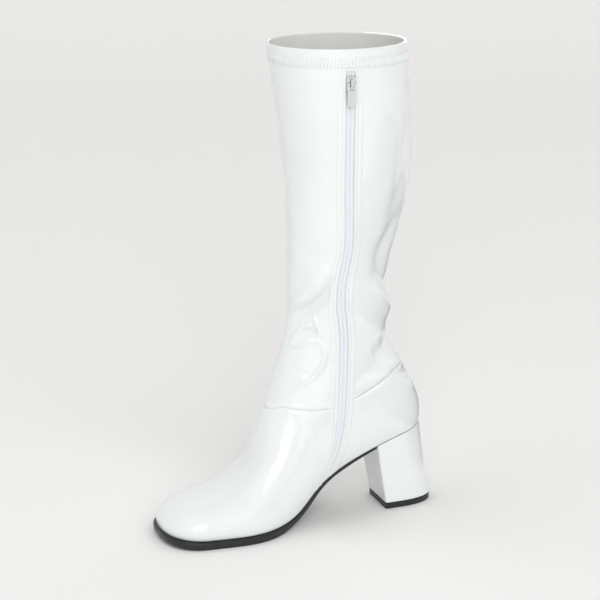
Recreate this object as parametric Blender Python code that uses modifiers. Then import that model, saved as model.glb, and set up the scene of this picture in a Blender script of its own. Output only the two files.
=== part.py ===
"""Go go boot, right foot: white patent upper and shaft, black sole, covered block heel, inside zip.

Metres, +Z up. The origin is the middle of the heel's tread on the floor. The toe points along -Y,
and the medial side, which has the zip, is +X. The tables are drawn in millimetres for the reference
last, and each of their columns is scaled by the driving dimension that it belongs to.
"""
import math
from collections import namedtuple

import bmesh
import bpy
import numpy as np
from mathutils import Matrix, Vector

MM = 0.001

# Driving dimensions
FOOT_LENGTH = 248 * MM  # back of the counter to the tip of the toe
BALL_WIDTH = 88 * MM  # across the feather line at the ball
INSTEP_HEIGHT = 110 * MM  # floor to the seam on the instep
HEEL_HEIGHT = 82 * MM  # floor to the back of the heel seat
BOOT_HEIGHT = 428 * MM  # floor to the collar
UPPER_WALL = 1.8 * MM
SHAFT_WALL = 1.6 * MM
INSOLE_THICKNESS = 2.6 * MM
LEDGE = 2.8 * MM  # the sole stands out this far round the forefoot
HEM_DEPTH = 16 * MM
HEM_STEP = 0.5 * MM
TOP_PIECE_THICKNESS = 5.6 * MM
GAP = 0.3 * MM  # between pieces that touch
SEAT_GAP = 0.45 * MM  # between the last's underside and what lies under it

# The reference last that the tables are drawn for, in millimetres
REFERENCE = {"length": 248, "ball": 88, "instep": 110, "heel": 82, "height": 428}
ALONG = FOOT_LENGTH / REFERENCE["length"]
ACROSS = BALL_WIDTH / REFERENCE["ball"]
INSTEP = INSTEP_HEIGHT / REFERENCE["instep"]
CLIMB = HEEL_HEIGHT / REFERENCE["heel"]
LEG = BOOT_HEIGHT / REFERENCE["height"]

# Ends of the last, along the boot
TOE_TIP = -236.5 * ALONG
HEEL_BACK = 11.5 * ALONG
BREAST = -36 * ALONG

# Half widths of the feather line either side of the last's centre line
Width = namedtuple("Width", "along centre medial lateral")
WIDTHS = [
    Width(-240, 4.0, 41.0, 35.5),
    Width(-200, 4.0, 41.3, 38.0),
    Width(-182, 3.8, 43.2, 41.0),
    Width(-165, 3.5, 44.2, 43.0),
    Width(-148, 3.0, 42.0, 43.6),
    Width(-132, 2.3, 36.6, 41.6),
    Width(-116, 1.5, 30.6, 37.6),
    Width(-100, 0.8, 26.4, 33.2),
    Width(-84, 0.3, 23.8, 29.0),
    Width(-68, 0.0, 23.0, 26.2),
    Width(-50, 0.0, 23.4, 24.8),
    Width(-30, 0.0, 24.2, 24.4),
    Width(12, 0.0, 24.0, 24.0),
]
# Rounding of the outline's ends: length of the curve and its power, toe medial, toe lateral, heel
Rounding = namedtuple("Rounding", "length power")
TOE_ROUND = {1: Rounding(38 * ALONG, 2.4), -1: Rounding(58 * ALONG, 2.3)}
HEEL_ROUND = Rounding(25 * ALONG, 2.3)

# Underside of the sole and underside of the last, which is where upper and insole end
Bottom = namedtuple("Bottom", "along tread last")
BOTTOMS = [
    Bottom(-240, 4.4, 11.6),
    Bottom(-228, 2.2, 9.7),
    Bottom(-215, 0.6, 8.2),
    Bottom(-202, 0.0, 7.5),
    Bottom(-185, 0.0, 7.4),
    Bottom(-168, 0.0, 7.4),
    Bottom(-150, 0.0, 7.5),
    Bottom(-138, 0.6, 8.0),
    Bottom(-128, 2.2, 9.4),
    Bottom(-119, 5.4, 12.4),
    Bottom(-111, 10.2, 17.4),
    Bottom(-103, 17.2, 24.6),
    Bottom(-95, 26.0, 32.4),
    Bottom(-86, 34.6, 39.4),
    Bottom(-70, 45.0, 49.2),
    Bottom(-55, 53.0, 56.6),
    Bottom(-36, 62.0, 65.0),
    Bottom(-18, 69.0, 71.8),
    Bottom(0, 75.0, 77.6),
    Bottom(12, 79.4, 82.0),
]
TREAD_FLAT = (-202 * ALONG, -150 * ALONG)
LEDGE_FADE = (-150 * ALONG, -105 * ALONG)  # the ledge dies out between these
SOLE_MARGIN = 0.2 * MM  # the sole, like the heel's seat, is this much wider than the upper
SOLE_BEVEL = 0.6 * MM
NO_END = 1.0  # a metre away, where it rounds nothing
INSOLE_PLAY = 0.7 * MM

# Section planes of the boot, fanned from the toe round the ankle to the collar. Each runs from a
# point on the ridge of the vamp or shin to a point on the feather line or back seam. The columns:
# where those two points are, x of the ridge, half widths, how far down the widest place is, and the
# powers of the upper and lower curve.
Section = namedtuple("Section", "top_y top_z low_y low_z ridge medial lateral belly crown base")
FOOT_SECTIONS = [
    Section(-236.5, 16.5, -236.5, None, 4.0, 42.8, 37.5, 0.60, 2.3, 2.0),
    Section(-235.2, 20.0, -235.2, None, 4.0, 42.8, 37.5, 0.62, 2.3, 2.0),
    Section(-231.4, 24.4, -231.4, None, 4.0, 42.8, 37.6, 0.64, 2.3, 2.0),
    Section(-223.0, 30.0, -223.0, None, 4.0, 42.9, 38.2, 0.66, 2.3, 2.0),
    Section(-209.0, 34.5, -209.5, None, 4.0, 43.3, 39.3, 0.68, 2.25, 2.0),
    Section(-193.0, 37.2, -194.0, None, 4.0, 44.0, 41.2, 0.69, 2.2, 2.0),
    Section(-177.0, 41.0, -177.0, None, 4.0, 45.4, 43.6, 0.69, 2.15, 2.0),
    Section(-164.0, 48.0, -159.0, None, 3.8, 45.8, 45.0, 0.68, 2.1, 2.0),
    Section(-154.0, 59.0, -139.0, None, 3.4, 42.6, 44.2, 0.65, 2.05, 2.0),
    Section(-147.0, 75.0, -117.0, None, 2.8, 38.0, 41.4, 0.61, 2.0, 2.0),
    Section(-141.0, 94.0, -94.0, None, 2.2, 34.8, 38.0, 0.57, 2.0, 2.0),
    Section(-134.0, 113.0, -70.0, None, 1.6, 33.6, 36.0, 0.55, 2.0, 2.0),
    Section(-127.8, 134.0, -45.0, None, 1.0, 33.6, 35.2, 0.54, 2.0, 2.1),
    Section(-121.4, 153.0, -21.0, None, 0.5, 34.0, 35.0, 0.53, 2.0, 2.2),
    Section(-116.6, 170.0, -3.0, None, 0.2, 34.8, 35.2, 0.52, 2.0, 2.4),
    Section(-114.0, 184.0, 8.0, None, 0.0, 35.4, 35.6, 0.51, 2.0, 2.5),
    Section(-113.2, 196.0, 11.5, None, 0.0, 35.8, 35.8, 0.50, 2.0, 2.5),
]
LEG_SECTIONS = [
    Section(-113.0, 206.0, 11.0, 96.0, 0.0, 36.0, 36.0, 0.50, 2.0, 2.45),
    Section(-113.0, 215.0, 6.5, 111.5, 0.0, 36.2, 36.2, 0.50, 2.0, 2.35),
    Section(-113.0, 224.0, -1.5, 127.5, 0.0, 36.2, 36.2, 0.50, 2.0, 2.2),
    Section(-112.9, 232.5, -11.0, 144.0, 0.0, 36.2, 36.2, 0.50, 2.0, 2.1),
    Section(-112.8, 241.0, -20.0, 159.5, 0.0, 36.0, 36.0, 0.50, 2.0, 2.0),
    Section(-112.8, 249.0, -22.0, 175.0, 0.0, 36.0, 36.0, 0.50, 2.0, 2.0),
    Section(-112.8, 257.5, -18.5, 190.0, 0.0, 36.2, 36.2, 0.50, 2.0, 2.0),
    Section(-112.8, 266.5, -22.0, 206.0, 0.0, 36.8, 36.8, 0.50, 2.0, 2.0),
    Section(-112.8, 276.0, -22.0, 222.5, 0.0, 37.8, 37.8, 0.50, 2.0, 2.0),
    Section(-112.9, 287.0, -18.5, 240.5, 0.0, 39.2, 39.2, 0.50, 2.0, 2.0),
    Section(-113.4, 301.0, -12.0, 261.5, 0.0, 41.2, 41.2, 0.50, 2.0, 2.0),
    Section(-114.8, 319.0, -4.5, 288.0, 0.0, 44.0, 44.0, 0.50, 2.0, 2.0),
    Section(-117.9, 344.0, -0.5, 323.0, 0.0, 47.0, 47.0, 0.50, 2.0, 2.0),
    Section(-121.9, 373.0, -1.5, 362.0, 0.0, 49.4, 49.4, 0.50, 2.0, 2.0),
    Section(-125.5, 401.0, -5.0, 398.0, 0.0, 50.6, 50.6, 0.50, 2.0, 2.0),
    Section(-128.6, 428.0, -8.6, 428.0, 0.0, 51.0, 51.0, 0.50, 2.0, 2.0),
]
BALL_STATION = 7
INSTEP_STATION = 9  # the last section that lies wholly in the foot part
HEEL_STATION = len(FOOT_SECTIONS) - 1  # its low point is the back of the feather line
COLLAR_STATION = len(FOOT_SECTIONS) + len(LEG_SECTIONS) - 1

# Height of the seam between foot part and shaft, along the boot
Seam = namedtuple("Seam", "along height")
SEAM_LINE = [
    Seam(-150, 107),
    Seam(-134, 108),
    Seam(-118, 110),
    Seam(-100, 109.5),
    Seam(-83, 110.5),
    Seam(-66, 115.5),
    Seam(-50, 123),
    Seam(-34, 132.5),
    Seam(-18, 141),
    Seam(0, 147),
    Seam(14, 150),
]

# Middle of the zip on the medial side, from the arch up to the hem
Zip = namedtuple("Zip", "height along")
ZIP_LINE = [
    Zip(44, -84.7),
    Zip(56, -80.7),
    Zip(70, -77.2),
    Zip(88, -74.2),
    Zip(106, -72.2),
    Zip(126, -71.2),
    Zip(160, -70.7),
    Zip(180, -71.7),
    Zip(203, -75.7),
    Zip(222, -75.7),
    Zip(250, -71.7),
    Zip(290, -72.2),
    Zip(340, -74.2),
    Zip(380, -75.2),
    Zip(428, -76.2),
]
ZIP_WIDTH = 12 * MM
ZIP_THICKNESS = 0.7 * MM
ZIP_TOP = BOOT_HEIGHT - HEM_DEPTH - 4 * MM
ZIP_FOOT = 47 * CLIMB

# Slider and pull tab, in the zip's own directions: across, along and out
SLIDER_HEIGHT = 400 * LEG
SLIDER_BODY = (8 * MM, 12 * MM, 2 * MM)
BRIDGE = (2 * MM, 7.6 * MM, 3 * MM)
BRIDGE_WALL = 0.9 * MM
BRIDGE_SINK = 0.2 * MM  # how deep the bridge's feet go into the body
TAB_WIDTH = 7 * MM
TAB_LENGTH = 20 * MM
TAB_THICKNESS = 0.9 * MM
TAB_EYE = (3.6 * MM, 5 * MM)
TAB_BAR = 1.0 * MM

# Heel block at its tread: breast, back and half width
TREAD_BREAST = -25 * ALONG
TREAD_BACK = 25 * ALONG
TREAD_HALF = 20.2 * ACROSS
TREAD_ROUND = Rounding(37 * ALONG, 2.4)
SEAT_FLARE = 2.2  # power by which the block widens up to its seat

MATERIALS = {
    "white_patent": ((0.86, 0.89, 0.88, 1), 0.16, 0.0),
    "lining": ((0.80, 0.80, 0.78, 1), 0.85, 0.0),
    "black_rubber": ((0.012, 0.012, 0.014, 1), 0.42, 0.0),
    "zip_tape": ((0.74, 0.78, 0.86, 1), 0.8, 0.0),
    "nickel": ((0.72, 0.72, 0.74, 1), 0.24, 1.0),
}


class Spline:
    """A natural cubic spline through one column of a table."""

    def __init__(self, knots, values):
        self.knots = np.asarray(knots, float)
        self.values = np.asarray(values, float)
        steps = np.diff(self.knots)
        slopes = np.diff(self.values) / steps
        count = len(self.knots)
        system = np.eye(count)
        target = np.zeros(count)
        for i in range(1, count - 1):
            system[i, i - 1 : i + 2] = steps[i - 1], 2 * (steps[i - 1] + steps[i]), steps[i]
            target[i] = 6 * (slopes[i] - slopes[i - 1])
        self.bends = np.linalg.solve(system, target)

    def __call__(self, at):
        at = min(max(at, self.knots[0]), self.knots[-1])
        i = min(int(np.searchsorted(self.knots, at, side="right")) - 1, len(self.knots) - 2)
        step = self.knots[i + 1] - self.knots[i]
        before = (self.knots[i + 1] - at) / step
        after = 1 - before
        bend = (before**3 - before) * self.bends[i] + (after**3 - after) * self.bends[i + 1]
        return before * self.values[i] + after * self.values[i + 1] + bend * step * step / 6


def columns(rows, knot, scales):
    """One spline for each named column, over the column that is the knot."""
    knots = [getattr(row, knot) * ALONG for row in rows]
    return {name: Spline(knots, [getattr(row, name) * scale for row in rows]) for name, scale in scales.items()}


WIDTH = columns(WIDTHS, "along", {"centre": ACROSS, "medial": ACROSS, "lateral": ACROSS})
BOTTOM = columns(BOTTOMS, "along", {"tread": CLIMB, "last": CLIMB})
SEAM = columns(SEAM_LINE, "along", {"height": INSTEP})["height"]
ZIP_MIDDLE = Spline([row.height * MM for row in ZIP_LINE], [row.along * ALONG for row in ZIP_LINE])


def round_end(distance, rounding):
    """Share of the full width at a distance from a rounded end."""
    left = 1 - min(max(distance / rounding.length, 0), 1)
    return (1 - left**rounding.power) ** (1 / rounding.power)


def smooth_step(at, low, high):
    share = min(max((at - low) / (high - low), 0), 1)
    return share * share * (3 - 2 * share)


def edge_x(y, side, grow=0.0, tip=TOE_TIP, back=HEEL_BACK):
    """X of the feather line on one side, or of the same line grown by a margin."""
    half = WIDTH["medial" if side > 0 else "lateral"](y) + grow
    half *= round_end(y - tip, TOE_ROUND[side]) * round_end(back - y, HEEL_ROUND)
    return WIDTH["centre"](y) + side * half


def last_z(y):
    return BOTTOM["last"](y)


def under_last(y):
    """Height of what lies under the last, a gap below it that is measured square to the slope."""
    slope = (last_z(y + MM) - last_z(y - MM)) / (2 * MM)
    return last_z(y) - SEAT_GAP * math.hypot(1, slope)


def section_splines():
    """A spline for each column of the sections, over the number of the section."""
    rows = []
    for row in FOOT_SECTIONS:
        rows.append((row.top_y * ALONG, row.top_z * INSTEP, row.low_y * ALONG, last_z(row.low_y * ALONG), *row[4:]))
    for row in LEG_SECTIONS:
        rows.append((row.top_y * ALONG, row.top_z * LEG, row.low_y * ALONG, row.low_z * LEG, *row[4:]))
    names = Section._fields
    stations = range(len(rows))
    return {name: Spline(stations, [row[i] for row in rows]) for i, name in enumerate(names)}


SECTION = section_splines()


def surface(station, around):
    """A point of the boot's outer surface: around is 0 on the ridge, 1 medial and -1 lateral."""
    side = 1 if around >= 0 else -1
    at = {name: spline(station) for name, spline in SECTION.items()}
    top = np.array([at["top_y"], at["top_z"]])
    low = np.array([at["low_y"], at["low_z"]])
    on_sole = station < HEEL_STATION
    if on_sole:
        low[1] = last_z(low[0])
    centre = WIDTH["centre"](low[0]) if on_sole else 0.0
    ridge = at["ridge"] * ACROSS
    half = at["medial" if side > 0 else "lateral"] * ACROSS * round_end(low[0] - TOE_TIP, TOE_ROUND[side])
    foot_half = abs(edge_x(low[0], side) - centre) if on_sole else 0.0
    widest = centre + side * half
    tucked = math.acos(min(foot_half / max(half, MM / 100), 0.995) ** (at["base"] / 2))
    depth = np.linalg.norm(low - top)
    belly = at["belly"]
    crown_reach = math.hypot(widest - ridge, belly * depth)
    base_reach = math.hypot(half - foot_half, (1 - belly) * depth)
    split = crown_reach / (crown_reach + base_reach)
    share = abs(around)
    if share <= split:
        angle = math.pi / 2 * (1 - share / split)
        power = 2 / at["crown"]
        x = ridge + (widest - ridge) * max(math.cos(angle), 0.0) ** power
        down = belly * (1 - math.sin(angle) ** power)
    else:
        angle = tucked * (share - split) / (1 - split)
        power = 2 / at["base"]
        x = centre + side * half * max(math.cos(angle), 0.0) ** power
        down = belly + (1 - belly) * (math.sin(angle) / math.sin(tucked)) ** power
    y, z = top + (low - top) * down
    return np.array([x, y, z])


def seam_station(around):
    """Number of the section at which a line of the surface crosses the seam."""
    low, high = INSTEP_STATION, COLLAR_STATION
    for _ in range(40):
        middle = (low + high) / 2
        _, y, z = surface(middle, around)
        if z < SEAM(y):
            low = middle
        else:
            high = middle
    return low


def along_surface(station, around, distance):
    """The station that lies a small distance further along a line of the surface."""
    step = 0.01
    speed = np.linalg.norm(surface(station + step, around) - surface(station - step, around)) / (2 * step)
    return station + distance / speed


def outward(point_of, u, v, step_u=0.01, step_v=0.004):
    """Unit normal of a surface of two numbers, pointing out of the boot on the medial side."""
    along = point_of(u + step_u, v) - point_of(u - step_u, v)
    across = point_of(u, v + step_v) - point_of(u, v - step_v)
    normal = np.cross(across, along)
    return normal / np.linalg.norm(normal)


def medial_place(y, z):
    """Station and place around of the medial point of the surface at a given y and z."""
    tries = [(s, a) for s in np.arange(8, COLLAR_STATION + 0.1, 0.5) for a in np.arange(0.15, 0.96, 0.1)]
    at = np.array(min(tries, key=lambda place: np.hypot(*(surface(*place)[1:] - (y, z)))))
    for _ in range(8):
        miss = surface(*at)[1:] - (y, z)
        slope_s = (surface(at[0] + 0.01, at[1]) - surface(at[0] - 0.01, at[1]))[1:] / 0.02
        slope_a = (surface(at[0], at[1] + 0.001) - surface(at[0], at[1] - 0.001))[1:] / 0.002
        at = at - np.linalg.solve(np.array([slope_s, slope_a]).T, miss)
        at = np.clip(at, (1, 0.05), (COLLAR_STATION - 0.02, 0.99))
    return at


def medial_frame(y, z):
    """Point and outward normal of the medial surface at a given y and z."""
    station, around = medial_place(y, z)
    return surface(station, around), outward(surface, station, around)


def new_object(name, vertices, faces, material, collection):
    mesh = bpy.data.meshes.new(name)
    mesh.from_pydata([tuple(float(c) for c in v) for v in vertices], [], faces)
    work = bmesh.new()
    work.from_mesh(mesh)
    bmesh.ops.remove_doubles(work, verts=work.verts, dist=0.00002)
    bmesh.ops.recalc_face_normals(work, faces=work.faces)
    work.to_mesh(mesh)
    work.free()
    obj = bpy.data.objects.new(name, mesh)
    collection.objects.link(obj)
    if material:
        mesh.materials.append(material)
    return obj


def smooth(obj, angle=40):
    obj.data.shade_smooth()
    obj.data.set_sharp_from_angle(angle=math.radians(angle))


def grid_faces(rows, cols):
    faces = []
    for j in range(rows - 1):
        for k in range(cols - 1):
            a = j * cols + k
            faces.append((a, a + 1, a + cols + 1, a + cols))
    return faces


def shell(name, rows, wall, material, collection):
    """A hollow wall: the outer surface as rows of points, thickened inwards."""
    points = [point for row in rows for point in row]
    obj = new_object(name, points, grid_faces(len(rows), len(rows[0])), material, collection)
    top = max(obj.data.polygons, key=lambda face: face.center.x)
    if top.normal.x < 0:
        obj.data.flip_normals()
    solidify = obj.modifiers.new("Wall", "SOLIDIFY")
    solidify.thickness = wall
    solidify.offset = -1
    solidify.use_even_offset = True
    solidify.use_rim = True
    smooth(obj)
    return obj


def slab(name, tops, bottoms, material, collection):
    """A closed slab between two lists of (medial x, lateral x, y, z) from one end to the other."""
    vertices = []
    for top, bottom in zip(tops, bottoms):
        for medial, lateral, y, z in (top, bottom):
            vertices += [(medial, y, z), (lateral, y, z)]
    faces = []
    for j in range(len(tops) - 1):
        a, b = 4 * j, 4 * (j + 1)
        faces += [(a, b, b + 1, a + 1), (a + 2, a + 3, b + 3, b + 2)]
        faces += [(a, a + 2, b + 2, b), (a + 1, b + 1, b + 3, a + 3)]
    last = 4 * (len(tops) - 1)
    faces += [(0, 1, 3, 2), (last, last + 2, last + 3, last + 1)]
    obj = new_object(name, vertices, faces, material, collection)
    drop_flat_faces(obj)
    smooth(obj)
    return obj


def drop_flat_faces(obj):
    """Removes the faces that a rounded end has shrunk to nothing, and triangulates the rest."""
    work = bmesh.new()
    work.from_mesh(obj.data)
    bmesh.ops.dissolve_degenerate(work, dist=0.00001, edges=work.edges)
    bmesh.ops.triangulate(work, faces=work.faces)
    bmesh.ops.recalc_face_normals(work, faces=work.faces)
    work.to_mesh(obj.data)
    work.free()


def crowded(start, end, count, at_start=True, at_end=False):
    """Places from start to end that crowd towards the rounded ends."""
    shares = np.linspace(0, 1, count)
    if at_start and at_end:
        shares = (1 - np.cos(np.pi * shares)) / 2
    elif at_start:
        shares = 1 - np.cos(np.pi / 2 * shares)
    elif at_end:
        shares = np.sin(np.pi / 2 * shares)
    return start + (end - start) * shares


AROUND = np.linspace(-1, 1, 33)


def make_upper(material, collection):
    """Foot part: vamp and counter in one hollow wall, open to the shaft and underneath."""
    toe = list(BALL_STATION * np.linspace(0, 1, 13) ** 1.15)
    ball = list(np.linspace(BALL_STATION, INSTEP_STATION, 5))[1:]
    ends = [along_surface(seam_station(a), a, -GAP) for a in AROUND]
    rows = [[surface(station, a) for a in AROUND] for station in toe + ball]
    corner = (HEEL_STATION - INSTEP_STATION) / (ends[0] - INSTEP_STATION)
    shares = [*crowded(0, corner, 20, at_start=False, at_end=True)[1:], *np.linspace(corner, 1, 9)[1:]]
    for share in shares:
        rows.append([surface(INSTEP_STATION + (end - INSTEP_STATION) * share, a) for a, end in zip(AROUND, ends)])
    return shell("upper", rows, UPPER_WALL, material, collection)


def make_shaft(material, collection):
    """Leg part: hollow and open at both ends, with the hem as a step in its wall."""
    starts = [along_surface(seam_station(a), a, GAP) for a in AROUND]
    hem = COLLAR_STATION - HEM_DEPTH / ((LEG_SECTIONS[-1].low_z - LEG_SECTIONS[-2].low_z) * LEG)
    rows = []
    count = 20
    for j in range(count + 1):
        share = j / count
        rows.append([surface(start + (hem - start) * share, a) for a, start in zip(AROUND, starts)])
    for station in np.linspace(hem + 0.03, COLLAR_STATION, 4):
        rows.append([hem_point(station, a) for a in AROUND])
    return shell("shaft", rows, SHAFT_WALL, material, collection)


def hem_point(station, around):
    point = surface(station, around)
    middle = np.array([0, (SECTION["top_y"](station) + SECTION["low_y"](station)) / 2])
    away = point[:2] - middle
    point[:2] += HEM_STEP * away / np.linalg.norm(away)
    return point


def make_outsole(material, collection):
    """Thin sole from the toe to the breast of the heel, with a ledge that dies out at the waist."""
    tip = TOE_TIP - LEDGE
    flat = np.linspace(*TREAD_FLAT, 5)
    places = [*crowded(tip, TREAD_FLAT[0], 13)[:-1], *flat, *np.linspace(TREAD_FLAT[1], BREAST - GAP, 19)[1:]]
    tops, bottoms = [], []
    for y in places:
        ledge = LEDGE * (1 - smooth_step(y, *LEDGE_FADE)) + SOLE_MARGIN
        rim = [edge_x(y, side, ledge, tip=tip, back=NO_END) for side in (1, -1)]
        tread = [edge_x(y, side, ledge - SOLE_BEVEL, tip=tip, back=NO_END) for side in (1, -1)]
        tops.append((*rim, y, under_last(y)))
        tread_z = 0.0 if TREAD_FLAT[0] - MM / 2 <= y <= TREAD_FLAT[1] + MM / 2 else BOTTOM["tread"](y)
        bottoms.append((*tread, y, tread_z))
    return slab("outsole", tops, bottoms, material, collection)


def make_insole(material, collection):
    """Insole board and sock, inside the wall of the upper, on the outsole and the heel."""
    inset = UPPER_WALL + INSOLE_PLAY
    tip, back = TOE_TIP + inset, HEEL_BACK - inset
    places = [*crowded(tip, -195 * ALONG, 12)[:-1], *np.linspace(-195 * ALONG, -15 * ALONG, 26)[:-1]]
    places += list(crowded(-15 * ALONG, back, 9, at_start=False, at_end=True))
    tops, bottoms = [], []
    for y in places:
        edges = [edge_x(y, side, -inset, tip=tip, back=back) for side in (1, -1)]
        tops.append((*edges, y, last_z(y) + INSOLE_THICKNESS))
        bottoms.append((*edges, y, last_z(y)))
    return slab("insole", tops, bottoms, material, collection)


def heel_outline(level, share):
    """Half width and y of the heel block: level 0 is its tread, 1 its seat; share runs to the back."""
    seat_back = HEEL_BACK + 2 * SOLE_MARGIN
    seat_y = BREAST + (seat_back - BREAST) * share
    seat_half = WIDTH["medial"](seat_y) * round_end(seat_back - seat_y, HEEL_ROUND) + SOLE_MARGIN
    tread_y = TREAD_BREAST + (TREAD_BACK - TREAD_BREAST) * share
    tread_half = TREAD_HALF * round_end(TREAD_BACK - tread_y, TREAD_ROUND)
    if share == 1:
        seat_half = 0.0
    waist = level**SEAT_FLARE
    return tread_half + (seat_half - tread_half) * waist, tread_y + (seat_y - tread_y) * level


def make_heel(material, collection):
    """Covered block heel, flared to the back, with the last's slope at its seat."""
    shares = crowded(0, 1, 15, at_start=False, at_end=True)
    levels = np.linspace(0, 1, 6)
    base_z = TOP_PIECE_THICKNESS + GAP
    ring = [(share, side) for side in (1, -1) for share in (shares if side > 0 else shares[::-1])]
    vertices, faces = [], []
    for level in levels:
        for share, side in ring:
            half, y = heel_outline(level, share)
            seat_z = under_last(heel_outline(1, share)[1])
            vertices.append((side * half, y, base_z + (seat_z - base_z) * level))
    count = len(ring)
    for j in range(len(levels) - 1):
        for k in range(count):
            a, b = j * count + k, j * count + (k + 1) % count
            faces.append((a, b, b + count, a + count))
    top = (len(levels) - 1) * count
    for k in range(len(shares) - 1):
        mate = count - 1 - k
        faces.append((k, mate, mate - 1, k + 1))
        faces.append((top + k, top + k + 1, top + mate - 1, top + mate))
    obj = new_object("heel", vertices, faces, material, collection)
    drop_flat_faces(obj)
    smooth(obj)
    return obj


def make_top_piece(material, collection):
    """Rubber lift under the heel."""
    shares = crowded(0, 1, 15, at_start=False, at_end=True)
    tops, bottoms = [], []
    for share in shares:
        half, y = heel_outline(0, share)
        tops.append((half, -half, y, TOP_PIECE_THICKNESS))
        bottoms.append((half, -half, y, 0.0))
    return slab("heel_top_piece", tops, bottoms, material, collection)


def zip_strip(name, half_width, inner, outer, heights, material, collection):
    """A strip that follows the medial surface between two offsets from it."""
    vertices = []
    offsets = (-half_width, -half_width / 3, half_width / 3, half_width)
    for z in heights:
        for out in (inner, outer):
            for offset in offsets:
                point, normal = medial_frame(ZIP_MIDDLE(z) + offset, z)
                vertices.append(point + normal * out)
    faces = []
    width = len(offsets)
    ring = 2 * width
    for j in range(len(heights) - 1):
        a, b = j * ring, (j + 1) * ring
        for k in range(width - 1):
            faces.append((a + k, a + k + 1, b + k + 1, b + k))
            faces.append((a + width + k, b + width + k, b + width + k + 1, a + width + k + 1))
        faces.append((a, b, b + width, a + width))
        faces.append((a + width - 1, a + ring - 1, b + ring - 1, b + width - 1))
    last = (len(heights) - 1) * ring
    for start, order in ((0, 1), (last, -1)):
        for k in range(width - 1):
            face = (start + k, start + width + k, start + width + k + 1, start + k + 1)
            faces.append(face[::order])
    return new_object(name, vertices, faces, material, collection)


def cut(obj, cutter):
    boolean = obj.modifiers.new("Channel", "BOOLEAN")
    boolean.operation = "DIFFERENCE"
    boolean.solver = "EXACT"
    boolean.object = cutter


def join(obj, other):
    boolean = obj.modifiers.new("Join", "BOOLEAN")
    boolean.operation = "UNION"
    boolean.solver = "EXACT"
    boolean.object = other


def make_cutter(obj):
    obj.hide_render = True
    obj.display_type = "WIRE"


def make_zip(uppers, material, collection, cutters):
    """Tape and closed coil, lying in a channel of the two walls; the lining runs on behind it."""
    heights = np.linspace(ZIP_FOOT, ZIP_TOP, 30)
    tape = zip_strip("zip_tape", ZIP_WIDTH / 2, -ZIP_THICKNESS, 0.0, heights, material, collection)
    triangulate(tape)
    cut_heights = np.linspace(ZIP_FOOT - 2 * GAP, ZIP_TOP + GAP, 30)
    channel = zip_strip("zip_channel", ZIP_WIDTH / 2 + GAP, -ZIP_THICKNESS - GAP, 3 * MM, cut_heights, None, cutters)
    triangulate(channel)
    make_cutter(channel)
    for upper in uppers:
        cut(upper, channel)
    return tape


def triangulate(obj):
    work = bmesh.new()
    work.from_mesh(obj.data)
    bmesh.ops.triangulate(work, faces=work.faces)
    bmesh.ops.recalc_face_normals(work, faces=work.faces)
    work.to_mesh(obj.data)
    work.free()


def slider_frame():
    """Place of the slider: x across the zip, y up along it, z out of the boot."""
    point, normal = medial_frame(ZIP_MIDDLE(SLIDER_HEIGHT), SLIDER_HEIGHT)
    above, _ = medial_frame(ZIP_MIDDLE(SLIDER_HEIGHT + 3 * MM), SLIDER_HEIGHT + 3 * MM)
    out = Vector(normal)
    up = Vector(above - point)
    up = (up - out * up.dot(out)).normalized()
    across = up.cross(out)
    frame = Matrix((across, up, out)).transposed().to_4x4()
    frame.translation = Vector(point)
    return frame


def box(name, size, centre, collection, material=None):
    bpy.ops.mesh.primitive_cube_add(size=1)
    obj = bpy.context.object
    obj.name = obj.data.name = name
    for vertex in obj.data.vertices:
        vertex.co = Vector(c * s for c, s in zip(vertex.co, size)) + Vector(centre)
    for other in obj.users_collection:
        other.objects.unlink(obj)
    collection.objects.link(obj)
    if material:
        obj.data.materials.append(material)
    return obj


def make_slider(frame, material, collection, cutters):
    """Zip slider: a rounded body with a bridge that the pull tab's bar passes under."""
    lift = GAP
    width, length, thick = SLIDER_BODY
    body = box("zip_slider", SLIDER_BODY, (0, 0, lift + thick / 2), collection, material)
    bevel = body.modifiers.new("Edges", "BEVEL")
    bevel.width = 0.6 * MM
    bevel.segments = 2
    bridge = box("slider_bridge", BRIDGE, (0, 0, lift + thick + BRIDGE[2] / 2 - BRIDGE_SINK), cutters)
    hollow_size = (BRIDGE[0] * 2, BRIDGE[1] - 2 * BRIDGE_WALL, BRIDGE[2] - BRIDGE_WALL - BRIDGE_SINK)
    hollow = box("slider_hollow", hollow_size, (0, 0, lift + thick + hollow_size[2] / 2), cutters)
    for helper in (bridge, hollow):
        make_cutter(helper)
        helper.matrix_world = frame
    cut(bridge, hollow)
    body.matrix_world = frame
    join(body, bridge)
    return body


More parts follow.
